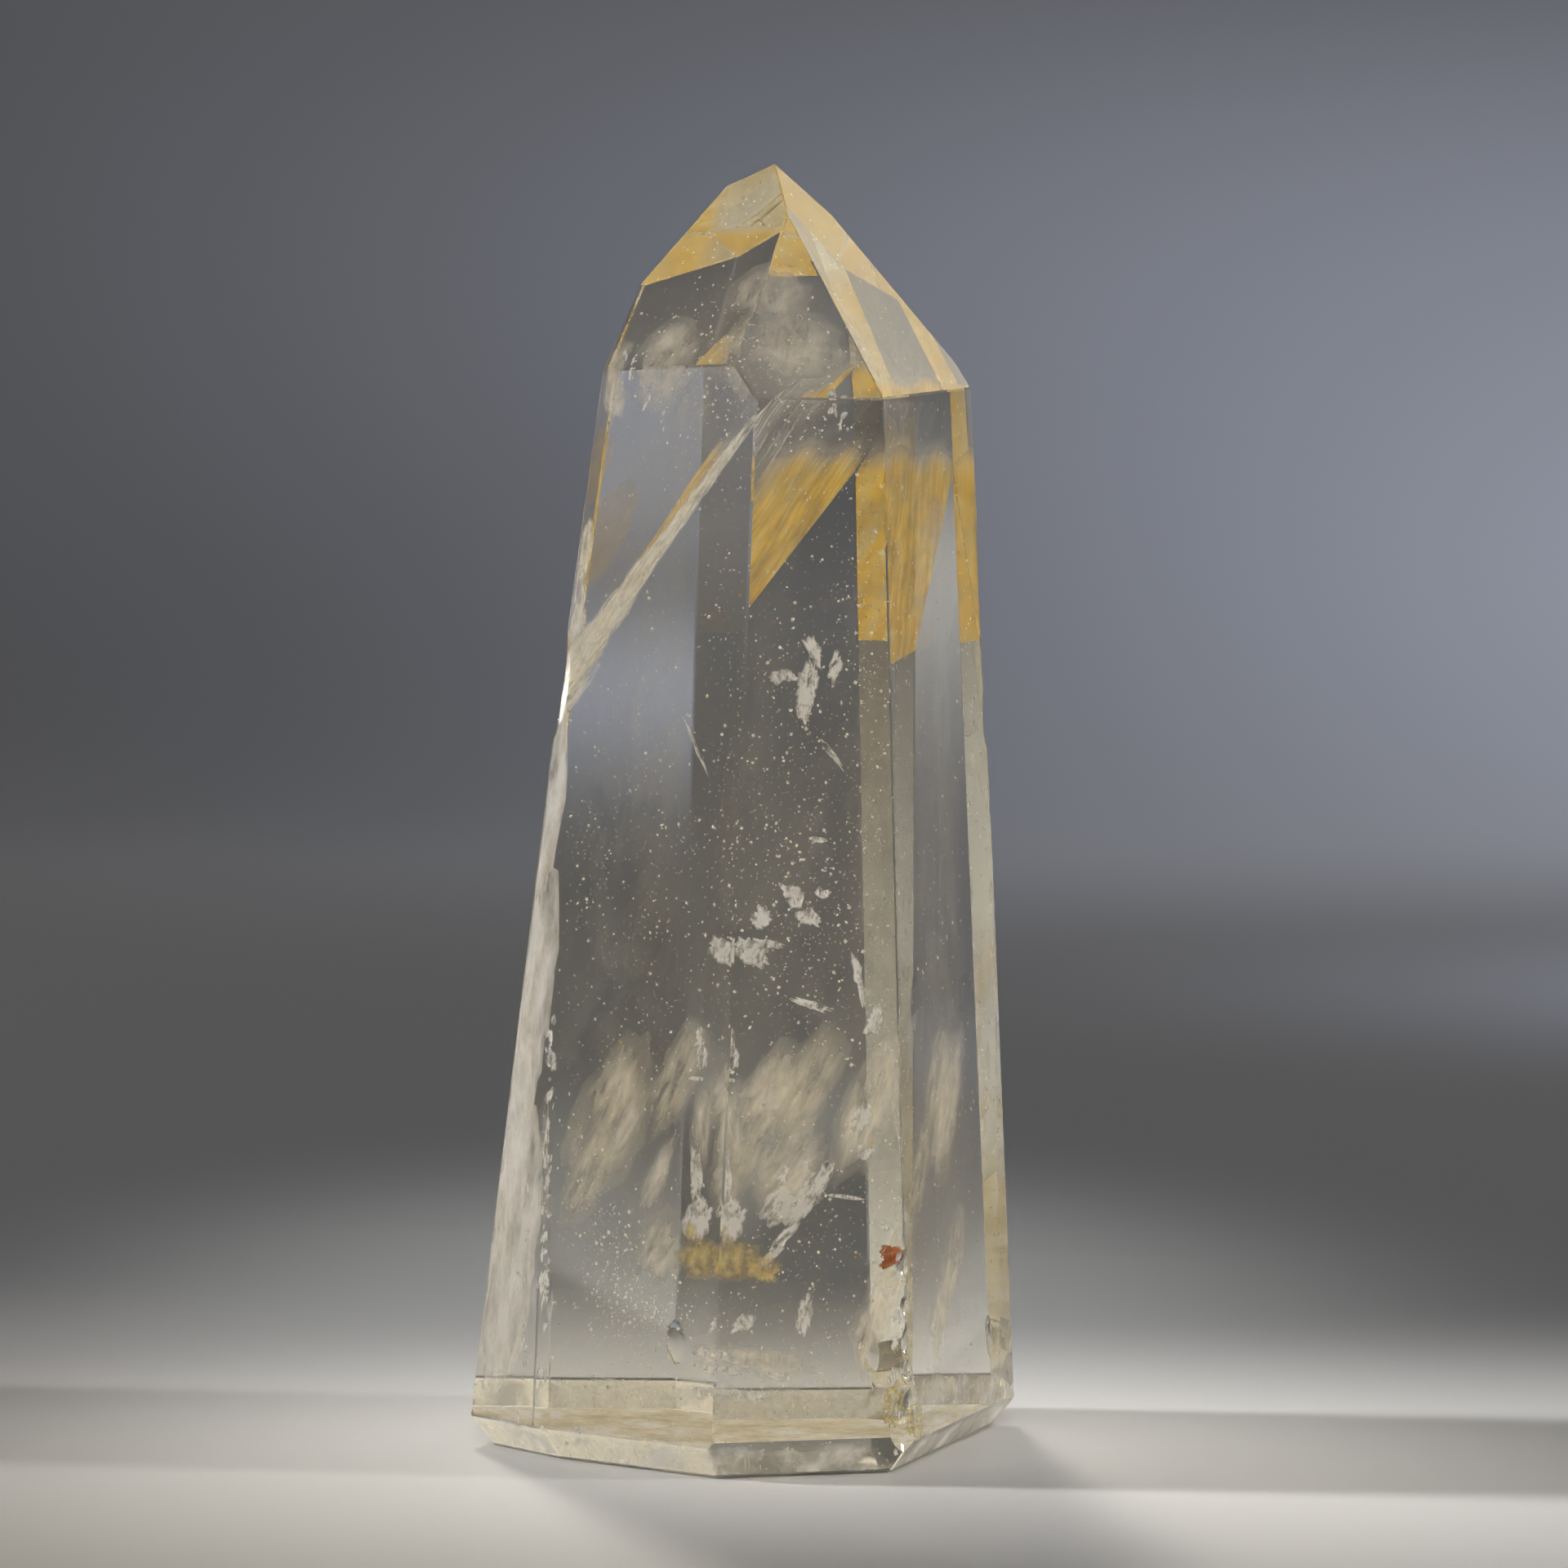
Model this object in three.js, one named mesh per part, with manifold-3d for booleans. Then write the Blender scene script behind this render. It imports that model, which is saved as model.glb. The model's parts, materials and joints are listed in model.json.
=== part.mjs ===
// Citrine crystal point: one clear quartz prism, ground and polished on a lapidary wheel.
// It stands on a flat sawn base and tapers up to a six-faced point.
// Units are millimetres, +Z is up, the broad front faces look towards -Y and +X is to the right.
// The origin is in the base plane, under the middle of the crystal's bounding box.

import * as THREE from 'three';
import { mergeVertices } from 'three/addons/utils/BufferGeometryUtils.js';
import Module from 'manifold-3d';

// ---------------------------------------------------------------------------
// Driving dimensions
// ---------------------------------------------------------------------------

const ROUGH_WIDTH = 36;       // the sawn block that the facets are ground from
const ROUGH_HEIGHT = 72;
const CUTTER_SIZE = 200;      // edge of the block that takes away everything outside a facet

// Prism faces, counter-clockwise from the left of the front. Azimuth is the way a face looks, in
// degrees from -Y towards +X. Lean is how far it tips inwards from upright. Reach is how far the
// face stands from the axis in the base plane, in millimetres.
const SIDE_FACES = {
  left: { azimuth: -54.1, lean: 3.4, reach: 12.74 },
  leftTrim: { azimuth: -50, lean: 3.45, reach: 12.64 },
  frontLeft: { azimuth: -41.1, lean: 4.1, reach: 12.43 },
  front: { azimuth: 13.9, lean: 2.7, reach: 14.19 },
  right: { azimuth: 72.2, lean: 2.1, reach: 11.7 },
  rightTrim: { azimuth: 76, lean: 1.85, reach: 12.15 },
  backRight: { azimuth: 141.4, lean: 3.1, reach: 14 },
  back: { azimuth: 181.2, lean: 3.5, reach: 14.5 },
  backLeft: { azimuth: 252, lean: 8, reach: 13.15 },
};

// Faces of the point. Slope is measured up from level, and crossing is the height at which the
// face's plane meets the axis.
const TIP_FACES = {
  tipFrontLeft: { azimuth: -41.8, slope: 48.7, crossing: 64.95 },
  tipFront: { azimuth: 13.9, slope: 52.5, crossing: 68.9 },
  tipRight: { azimuth: 70.3, slope: 55, crossing: 68 },
  tipBackRight: { azimuth: 128.7, slope: 49.4, crossing: 69.7 },
  tipBack: { azimuth: 186.3, slope: 42.4, crossing: 65.8 },
  tipBackLeft: { azimuth: 253.6, slope: 54.6, crossing: 66.6 },
};

// The ground bevel where each prism face meets the sawn base.
const BEVEL_HEIGHT = 1.6;
const BEVEL_INSET = 1.25;
const FRONT_BEVEL_HEIGHT = 1.9;   // the front face's bevel is a little taller than the others
const BEVELLED_FACES = ['left', 'frontLeft', 'front', 'right', 'backRight', 'back', 'backLeft'];

// Every edge is lightly broken on the wheel: a flat this wide takes the sharpness off it.
const BROKEN_EDGE_WIDTH = 0.14;
const SHORTEST_BROKEN_EDGE = 1.2;   // edges shorter than this stay as ground

// Chips are smooth scoops out of an edge. Each names the two faces whose edge it sits on, the
// height of its middle, its length along the edge, its width across and how deep it bites.
// Twist leans the scoop over in the plane of the edge, in degrees.
const CHIPS = [
  { faces: ['frontLeft', 'backLeft'], height: 39.2, length: 6.4, width: 3.6, depth: 0.45, twist: 0 },
  { faces: ['frontLeft', 'backLeft'], height: 37.8, length: 1.8, width: 1.6, depth: 0.4, twist: -24 },
  { faces: ['right', 'backRight'], height: 42.6, length: 12.5, width: 5.2, depth: 0.3, twist: 0 },
  { faces: ['right', 'backRight'], height: 37.6, length: 4.2, width: 2.2, depth: 0.55, twist: -14 },
  { faces: ['front', 'right'], height: 2.3, length: 4.6, width: 3.0, depth: 0.75, twist: 0 },
  { faces: ['front', 'right'], height: 5.1, length: 1.6, width: 1.3, depth: 0.3, twist: 20 },
  { faces: ['front', 'right'], height: 6.6, length: 1.9, width: 1.1, depth: 0.22, twist: -10 },
  { faces: ['front', 'right'], height: 8.3, length: 1.4, width: 1.0, depth: 0.24, twist: 12 },
  { faces: ['front', 'right'], height: 10.4, length: 2.0, width: 1.4, depth: 0.34, twist: 0 },
  { faces: ['left', 'leftTrim'], height: 17.6, length: 1.6, width: 0.9, depth: 0.1, twist: 0 },
  { faces: ['leftTrim', 'frontLeft'], height: 8.2, length: 2.2, width: 1.0, depth: 0.1, twist: 0 },
  { faces: ['back', 'backLeft'], height: 21.5, length: 3.4, width: 2.4, depth: 0.42, twist: 8 },
  { faces: ['backRight', 'back'], height: 3.6, length: 2.6, width: 2.0, depth: 0.4, twist: -15 },
];
const SCOOP_SIDES = 20;
const SCOOP_RINGS = 14;

const CITRINE_COLOUR = 0xe6dcc0;
const CITRINE_ROUGHNESS = 0.05;
const CITRINE_METALNESS = 0;

// ---------------------------------------------------------------------------
// From three.js geometry to a solid and back
// ---------------------------------------------------------------------------

const wasm = await Module();
wasm.setup();

function solidFrom(geometry) {
  const bare = geometry.clone();
  bare.deleteAttribute('normal');
  bare.deleteAttribute('uv');
  const merged = mergeVertices(bare);
  const vertProperties = new Float32Array(merged.attributes.position.array);
  const triVerts = new Uint32Array(merged.index.array);
  return new wasm.Manifold(new wasm.Mesh({ numProp: 3, vertProperties, triVerts }));
}

function geometryFrom(solid) {
  const mesh = solid.getMesh();
  const geometry = new THREE.BufferGeometry();
  geometry.setAttribute('position', new THREE.BufferAttribute(mesh.vertProperties, 3));
  geometry.setIndex(new THREE.BufferAttribute(mesh.triVerts, 1));
  return geometry;
}

// ---------------------------------------------------------------------------
// Facet planes
// ---------------------------------------------------------------------------

// The outward normal of a face that looks along an azimuth and tips up by rise degrees.
function faceNormal(azimuth, rise) {
  const turn = THREE.MathUtils.degToRad(azimuth);
  const tip = THREE.MathUtils.degToRad(rise);
  const level = Math.cos(tip);
  return new THREE.Vector3(Math.sin(turn) * level, -Math.cos(turn) * level, Math.sin(tip));
}

function sidePlane({ azimuth, lean, reach }) {
  const normal = faceNormal(azimuth, lean);
  const distance = reach * Math.cos(THREE.MathUtils.degToRad(lean));
  return { normal, distance };
}

function tipPlane({ azimuth, slope, crossing }) {
  const normal = faceNormal(azimuth, 90 - slope);
  return { normal, distance: crossing * normal.z };
}

// A bevel runs from the base, inset from its prism face, out to that face at the bevel's height.
function bevelPlane(side, height, inset) {
  const inward = height * Math.tan(THREE.MathUtils.degToRad(side.lean));
  const run = inset - inward;
  const normal = faceNormal(side.azimuth, -THREE.MathUtils.radToDeg(Math.atan2(run, height)));
  const foot = side.reach - inset;
  return { normal, distance: foot * Math.hypot(normal.x, normal.y) };
}

// The stretch of the line where two planes cross that lies on the crystal, or null if none does.
function sharedEdge(a, b, planes) {
  const along = new THREE.Vector3().crossVectors(a.normal, b.normal);
  const squared = along.lengthSq();
  const start = new THREE.Vector3();
  start.addScaledVector(new THREE.Vector3().crossVectors(b.normal, along), a.distance / squared);
  start.addScaledVector(new THREE.Vector3().crossVectors(along, a.normal), b.distance / squared);
  along.normalize();
  let from = -Infinity;
  let to = Infinity;
  for (const plane of planes) {
    if (plane === a || plane === b) {
      continue;
    }
    const approach = plane.normal.dot(along);
    const hit = (plane.distance - plane.normal.dot(start)) / approach;
    if (approach > 0) {
      to = Math.min(to, hit);
    } else {
      from = Math.max(from, hit);
    }
  }
  return to > from ? { start, length: to - from } : null;
}

// The narrow flats along the edges, each square to the line halfway between its two faces.
function brokenEdgePlanes(planes) {
  const flats = [];
  planes.forEach((a, index) => {
    for (const b of planes.slice(index + 1)) {
      const edge = sharedEdge(a, b, planes);
      if (edge && edge.length > SHORTEST_BROKEN_EDGE) {
        const turn = a.normal.angleTo(b.normal);
        const depth = (BROKEN_EDGE_WIDTH / 2) * Math.tan(turn / 2);
        const normal = a.normal.clone().add(b.normal).normalize();
        flats.push({ normal, distance: normal.dot(edge.start) - depth });
      }
    }
  });
  return flats;
}

// Where two prism faces cross at a given height.
function edgePoint(first, second, height) {
  const a = sidePlane(SIDE_FACES[first]);
  const b = sidePlane(SIDE_FACES[second]);
  const along = new THREE.Vector3().crossVectors(a.normal, b.normal);
  const level = new THREE.Vector3(0, 0, 1);
  const point = new THREE.Vector3();
  point.addScaledVector(new THREE.Vector3().crossVectors(b.normal, level), a.distance);
  point.addScaledVector(new THREE.Vector3().crossVectors(level, a.normal), b.distance);
  point.addScaledVector(along, height);
  return point.divideScalar(along.z);
}

// ---------------------------------------------------------------------------
// Cutters
// ---------------------------------------------------------------------------

// A block whose inner face lies on the plane, so that subtracting it grinds the face flat.
function grindingBlock({ normal, distance }) {
  const block = new THREE.BoxGeometry(CUTTER_SIZE, CUTTER_SIZE, CUTTER_SIZE);
  block.translate(0, 0, CUTTER_SIZE / 2 + distance);
  const turn = new THREE.Quaternion().setFromUnitVectors(new THREE.Vector3(0, 0, 1), normal);
  block.applyQuaternion(turn);
  return block;
}

// A scoop is an ellipsoid whose long axis follows the edge and whose middle lies outside it.
function scoop({ faces, height, length, width, depth, twist }) {
  const [first, second] = faces;
  const middle = edgePoint(first, second, height);
  const along = edgePoint(first, second, height + 1).sub(middle).normalize();
  const outward = sidePlane(SIDE_FACES[first]).normal.add(sidePlane(SIDE_FACES[second]).normal);
  outward.addScaledVector(along, -outward.dot(along)).normalize();
  const across = new THREE.Vector3().crossVectors(along, outward);

  const bite = width / 2;
  const stretch = length / width / Math.sqrt(1 - ((bite - depth) / bite) ** 2);
  const ellipsoid = new THREE.SphereGeometry(bite, SCOOP_SIDES, SCOOP_RINGS);
  ellipsoid.rotateX(Math.PI / 2);
  ellipsoid.scale(1, 1, stretch);
  ellipsoid.rotateX(THREE.MathUtils.degToRad(twist));
  ellipsoid.applyMatrix4(new THREE.Matrix4().makeBasis(outward, across, along));
  const centre = middle.addScaledVector(outward, bite - depth);
  return ellipsoid.translate(centre.x, centre.y, centre.z);
}

// ---------------------------------------------------------------------------
// The crystal
// ---------------------------------------------------------------------------

function roughBlock() {
  const block = new THREE.BoxGeometry(ROUGH_WIDTH, ROUGH_WIDTH, ROUGH_HEIGHT);
  return block.translate(0, 0, ROUGH_HEIGHT / 2);
}

function bevelHeight(name) {
  return name === 'front' ? FRONT_BEVEL_HEIGHT : BEVEL_HEIGHT;
}

function crystalGeometry() {
  const base = { normal: new THREE.Vector3(0, 0, -1), distance: 0 };
  const faces = [
    base,
    ...Object.values(SIDE_FACES).map(sidePlane),
    ...Object.values(TIP_FACES).map(tipPlane),
    ...BEVELLED_FACES.map((name) => bevelPlane(SIDE_FACES[name], bevelHeight(name), BEVEL_INSET)),
  ];
  let crystal = solidFrom(roughBlock());
  for (const plane of [...faces, ...brokenEdgePlanes(faces)]) {
    crystal = crystal.subtract(solidFrom(grindingBlock(plane)));
  }
  for (const chip of CHIPS) {
    crystal = crystal.subtract(solidFrom(scoop(chip)));
  }
  return geometryFrom(crystal);
}

// Moves a geometry sideways until its bounding box is centred on the Z axis.
function centredOnAxis(geometry) {
  geometry.computeBoundingBox();
  const middle = geometry.boundingBox.getCenter(new THREE.Vector3());
  return geometry.translate(-middle.x, -middle.y, 0);
}

const citrine = new THREE.MeshStandardMaterial({
  color: CITRINE_COLOUR,
  roughness: CITRINE_ROUGHNESS,
  metalness: CITRINE_METALNESS,
});

const crystalPoint = new THREE.Mesh(centredOnAxis(crystalGeometry()), citrine);
crystalPoint.name = 'crystal_point';

const part = new THREE.Group();
part.add(crystalPoint);

export default part;
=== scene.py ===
# %% [markdown]
# # A citrine crystal point
# The object is one clear quartz prism, ground and polished to seven tapering sides and a six-faced
# point, and stood on its flat sawn base. What makes it look real is inside it: a healed crack
# stained by iron, small silvery flakes, soft milky veils and thousands of specks.
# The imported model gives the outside. This lesson adds the glass, then each thing sealed in it,
# then the bruised edges and the ground base, and last the floor, the lights and the camera.

# %% Load the frame
import json
import math

import bmesh
import bpy
import numpy as np
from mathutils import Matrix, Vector

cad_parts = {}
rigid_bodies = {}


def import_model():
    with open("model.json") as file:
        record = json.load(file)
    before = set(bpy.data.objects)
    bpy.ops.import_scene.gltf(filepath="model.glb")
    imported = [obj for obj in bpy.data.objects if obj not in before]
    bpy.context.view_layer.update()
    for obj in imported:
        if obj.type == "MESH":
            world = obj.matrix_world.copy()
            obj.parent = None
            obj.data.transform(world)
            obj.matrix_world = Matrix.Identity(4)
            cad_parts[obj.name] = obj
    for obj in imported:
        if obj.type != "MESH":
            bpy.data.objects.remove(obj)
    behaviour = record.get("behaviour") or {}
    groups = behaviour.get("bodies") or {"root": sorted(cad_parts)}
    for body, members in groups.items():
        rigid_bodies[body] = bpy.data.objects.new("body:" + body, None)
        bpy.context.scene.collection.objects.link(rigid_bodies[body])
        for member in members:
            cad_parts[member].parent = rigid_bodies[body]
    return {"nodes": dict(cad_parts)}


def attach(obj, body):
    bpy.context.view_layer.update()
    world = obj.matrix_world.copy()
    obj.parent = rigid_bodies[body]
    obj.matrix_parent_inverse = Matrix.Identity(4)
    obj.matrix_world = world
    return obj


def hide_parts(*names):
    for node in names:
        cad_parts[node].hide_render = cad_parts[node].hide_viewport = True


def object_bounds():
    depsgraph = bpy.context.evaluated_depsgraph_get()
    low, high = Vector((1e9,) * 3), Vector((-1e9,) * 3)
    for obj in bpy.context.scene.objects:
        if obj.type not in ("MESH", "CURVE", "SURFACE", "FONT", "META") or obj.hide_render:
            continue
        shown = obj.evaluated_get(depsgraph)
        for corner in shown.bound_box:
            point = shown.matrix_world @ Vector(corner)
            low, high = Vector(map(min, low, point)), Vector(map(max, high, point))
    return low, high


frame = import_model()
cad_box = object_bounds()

MM = 0.001
low, high = (np.array(corner) / MM for corner in cad_box)
print("crystal box in mm:", low.round(2), "to", high.round(2))

# %% [markdown]
# ## Helpers
# Every colour is written as the sRGB hex value that a colour picker shows, and one function turns
# it to the linear light that Blender counts in. One more function adds a shader node with its
# settings and links, and one makes a piece from arrays in millimetres.

# %% Colours


def linear(hex_code):
    """sRGB hex to linear RGBA: a straight line near black, and a power of 2.4 above it."""
    channels = np.array([int(hex_code[i:i + 2], 16) for i in (1, 3, 5)]) / 255
    light = np.where(channels <= 0.04045, channels / 12.92, ((channels + 0.055) / 1.055) ** 2.4)
    return (*light.tolist(), 1.0)


print("the grey #808080 is", round(linear("#808080")[0], 3), "in linear light")

# %% Shader nodes


def new_material(name):
    """An empty node material: the material, its tree, and its output node."""
    material = bpy.data.materials.new(name)
    material.use_nodes = True
    tree = material.node_tree
    tree.nodes.clear()
    return material, tree, tree.nodes.new("ShaderNodeOutputMaterial")


def add(tree, kind, inputs=None, stops=None, **settings):
    """Adds a node. An input is a value, a socket to link from, or a node, whose first output is
    linked. stops are a colour ramp's (place, hex colour or grey) pairs. settings are attributes."""
    node = tree.nodes.new(kind)
    for name, value in settings.items():
        setattr(node, name, value)
    if stops:
        elements = node.color_ramp.elements
        while len(elements) < len(stops):
            elements.new(1.0)
        for element, (place, shade) in zip(elements, stops):
            element.position = place
            element.color = linear(shade) if isinstance(shade, str) else (shade, shade, shade, 1.0)
    for name, value in (inputs or {}).items():
        if isinstance(value, bpy.types.Node):
            value = value.outputs[0]
        if isinstance(value, bpy.types.NodeSocket):
            tree.links.new(value, node.inputs[name])
        else:
            node.inputs[name].default_value = value
    return node


# %% Pieces from arrays
CLOSING_GAP = 0.0002    # mm: points nearer than this are one, which closes the middle of a ring


def new_piece(name, points, faces, material, values=None, smooth=True):
    """A mesh object at the origin from points in mm, faces, and named values, one a point."""
    mesh = bpy.data.meshes.new(name)
    mesh.from_pydata((np.asarray(points) * MM).tolist(), [], np.asarray(faces).tolist())
    for key, column in (values or {}).items():
        layer = mesh.attributes.new(key, "FLOAT", "POINT")
        layer.data.foreach_set("value", np.ascontiguousarray(column, dtype=np.float32))
    shape = bmesh.new()
    shape.from_mesh(mesh)
    bmesh.ops.remove_doubles(shape, verts=shape.verts, dist=CLOSING_GAP * MM)
    shape.to_mesh(mesh)
    shape.free()
    mesh.polygons.foreach_set("use_smooth", np.full(len(mesh.polygons), smooth))
    mesh.materials.append(material)
    mesh.update()
    piece = bpy.data.objects.new(name, mesh)
    bpy.context.scene.collection.objects.link(piece)
    print(f"{name}: {len(mesh.vertices)} points, {len(mesh.polygons)} faces")
    return piece


def sealed_in(piece):
    """Fastens a piece to the crystal's one body."""
    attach(piece, "root")
    return piece


def grid_faces(rows, columns, wrap=False):
    """Quads between neighbouring points of a grid, joined round the columns if wrap is true."""
    index = np.arange(rows * columns).reshape(rows, columns)
    right = np.roll(index, -1, axis=1)
    quads = np.stack([index[:-1], right[:-1], right[1:], index[1:]], axis=-1)
    return quads.reshape(-1, 4) if wrap else quads[:, :-1].reshape(-1, 4)


def joined(shapes):
    """Several (points, faces, values) shapes as one."""
    starts = np.cumsum([0] + [len(points) for points, _, _ in shapes[:-1]])
    points = np.concatenate([points for points, _, _ in shapes])
    faces = np.concatenate([faces + start for (_, faces, _), start in zip(shapes, starts)])
    values = {key: np.concatenate([v[key] for _, _, v in shapes]) for key in shapes[0][2]}
    return points, faces, values


# %% [markdown]
# ## The clear body
# Citrine is quartz coloured faintly yellow. A wheel ground these faces flat and polished them, so
# light passes straight through and bends by quartz's index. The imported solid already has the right
# faces, so the body is a copy of it with its doubles merged. The small round chips are made of
# short facets, so their edges are smoothed, while every ground edge stays sharp.

# %% Polished citrine
QUARTZ_IOR = 1.548
CITRINE_TINT = "#fceb8b"        # a pale yellow: what the crystal takes least of
CITRINE_TINT_DENSITY = 6.5      # per metre, so 28 mm of it takes an eighth of the blue


def polished_citrine():
    """Citrine, wheel polished: clear and glossy, warm where light has come a long way through."""
    material, tree, out = new_material("polished_citrine")
    glass = add(tree, "ShaderNodeBsdfPrincipled", {
        "Base Color": linear("#ffffff"),
        "Roughness": 0.0,
        "IOR": QUARTZ_IOR,
        "Transmission Weight": 1.0,
    })
    tint = add(tree, "ShaderNodeVolumeAbsorption", {
        "Color": linear(CITRINE_TINT), "Density": CITRINE_TINT_DENSITY,
    })
    tree.links.new(glass.outputs["BSDF"], out.inputs["Surface"])
    tree.links.new(tint.outputs["Volume"], out.inputs["Volume"])
    return material


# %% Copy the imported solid, merge it and smooth its chips
MERGE_GAP = 0.002         # mm: corners nearer than this are one
FLAT_TURN = 0.3           # degrees: triangles that turn less than this are one flat face
CHIP_FACET_AREA = 1.6     # square mm: a face larger than this was ground, not chipped
CHIP_FACET_TURN = 32      # degrees: an edge sharper than this isn't smoothed


def clear_body():
    """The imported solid's mesh, merged by doubles, with flat triangles joined and chips smoothed."""
    mesh = frame["nodes"]["crystal_point"].data.copy()
    shape = bmesh.new()
    shape.from_mesh(mesh)
    bmesh.ops.remove_doubles(shape, verts=shape.verts, dist=MERGE_GAP * MM)
    bmesh.ops.dissolve_limit(
        shape, angle_limit=math.radians(FLAT_TURN), verts=shape.verts, edges=shape.edges
    )
    small = {face for face in shape.faces if face.calc_area() < CHIP_FACET_AREA * MM * MM}
    for edge in shape.edges:
        gentle = edge.calc_face_angle(math.pi) < math.radians(CHIP_FACET_TURN)
        edge.smooth = gentle and all(face in small for face in edge.link_faces)
    for face in shape.faces:
        face.smooth = True
    shape.to_mesh(mesh)
    shape.free()
    mesh.materials.clear()
    mesh.materials.append(polished_citrine())
    body = bpy.data.objects.new("citrine_body", mesh)
    bpy.context.scene.collection.objects.link(body)
    print("citrine_body:", len(mesh.polygons), "faces after joining flat triangles")
    return body


body = sealed_in(clear_body())
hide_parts("crystal_point")

# %% [markdown]
# ## Staying inside
# Everything sealed in the crystal has to stop short of its faces. The ground faces are the planes
# that every corner lies behind, so they are read once from the mesh. How deep a point lies is then
# its smallest distance to any of those planes, and a straight line can be cut to the stretch that
# lies inside all of them.

# %% Ground faces as planes
SKIN = 0.12             # mm of clear quartz left between a ground face and anything sealed in
PLANE_SLACK = 0.03      # mm that a corner may stand past a ground face's plane


def ground_planes(mesh):
    """Normals, and distances from the origin in mm, of the faces that all corners lie behind."""
    corners = np.empty((len(mesh.vertices), 3), np.float32)
    mesh.vertices.foreach_get("co", corners.ravel())
    normals, centres = np.empty((2, len(mesh.polygons), 3), np.float32)
    mesh.polygons.foreach_get("normal", normals.ravel())
    mesh.polygons.foreach_get("center", centres.ravel())
    distances = (normals * centres).sum(1) / MM
    overshoot = (corners @ normals.T).max(0) / MM - distances
    kept = overshoot < PLANE_SLACK
    return normals[kept].astype(float), distances[kept].astype(float)


NORMALS, DISTANCES = ground_planes(body.data)
print(len(DISTANCES), "ground faces")


def depth(points):
    """How far each point lies inside the ground faces, in mm."""
    return (DISTANCES - points @ NORMALS.T).min(-1)


def chord(starts, directions):
    """Where lines enter and leave the crystal, as distances in mm along their directions. A plane
    met against its normal is a way in and the last of those counts; the others are ways out."""
    closing = directions @ NORMALS.T
    gap = DISTANCES - SKIN - starts @ NORMALS.T
    meets = gap / np.where(np.abs(closing) < 1e-9, 1e-9, closing)
    enter = np.where(closing < 0, meets, -np.inf).max(-1)
    leave = np.where(closing > 0, meets, np.inf).min(-1)
    return enter, leave


# %% [markdown]
# ## Thin films
# Nearly everything sealed in this crystal is a film far thinner than a hair: pockets of fluid,
# stain, or a crack with air in it. A film could be a thin solid, but it has no thickness to see. So
# each is a single sheet whose shader has three shares: some light scatters back off its front, some
# glows through from behind, and the rest passes as if nothing were there.

# %% The film shader
FILM_IOR = 1.45     # opal, the glassy silica that lines such cracks


def film(tree, out, colour, cover, roughness, through, relief=None):
    """Ends a material as a film. cover is how much of it is there, through how much of that glows
    with light from behind, and relief an optional bump node."""
    front = add(tree, "ShaderNodeBsdfPrincipled", {
        "Base Color": colour, "Roughness": roughness, "IOR": FILM_IOR,
    })
    behind = add(tree, "ShaderNodeBsdfTranslucent", {"Color": colour})
    if relief:
        tree.links.new(relief.outputs["Normal"], front.inputs["Normal"])
    solid = add(tree, "ShaderNodeMixShader", {0: through, 1: front, 2: behind})
    clear = add(tree, "ShaderNodeBsdfTransparent")
    whole = add(tree, "ShaderNodeMixShader", {0: cover, 1: clear, 2: solid})
    tree.links.new(whole.outputs["Shader"], out.inputs["Surface"])


# %% Vectors and soft steps


def unit(vector):
    """A vector, or each row of an array, scaled to a length of 1."""
    vector = np.asarray(vector, float)
    return vector / np.linalg.norm(vector, axis=-1, keepdims=True)


def smooth_step(start, end, values):
    """0 before start, 1 past end, and an S-shaped rise between them. start may be the larger."""
    share = np.clip((values - start) / (end - start), 0, 1)
    return share * share * (3 - 2 * share)


# %% [markdown]
# ## The healed crack
# A crack once ran from the front left face right through to the back. Quartz healed it, but a thin
# film was left: silvery near the front, where air got in, and amber further back, where water
# left iron. A real crack is a nearly flat sheet, so this one is a grid: rows follow the line where
# it meets the front left face, and each row runs straight into the crystal from face to face.
# One sheet gives every amber patch that the facets show, because each face bends the view of it.

# %% The sheet's grid
CRACK_MIDDLE = np.array([-2.9, -9.2, 47.5])     # a point on the line where the crack meets the face
CRACK_ALONG = np.array([5.1, -3.7, 7.4])        # that line's way up the face
CRACK_INTO = np.array([0.214, 0.96, -0.008])    # the way into the crystal
CRACK_ENDS = (-14.0, 8.0)                       # mm along the line
CRACK_GRID = (150, 150)
CRACK_SHORTEST = 0.6                            # mm: rows shorter than this are left out
CRACK_SWELL = 0.1                               # mm that the sheet waves out of flat
CRACK_GAPE = 0.12                               # mm between its two walls
STAIN_INWARD = (2.5, 10.0)                      # mm inwards: no stain yet, then all of it
STAIN_UPWARD = (52.0, 49.6)                     # mm above the table, the same
CRACK_HEALS = (0.1, 1.8)                        # mm up from its lowest row, the same for the film


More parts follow.
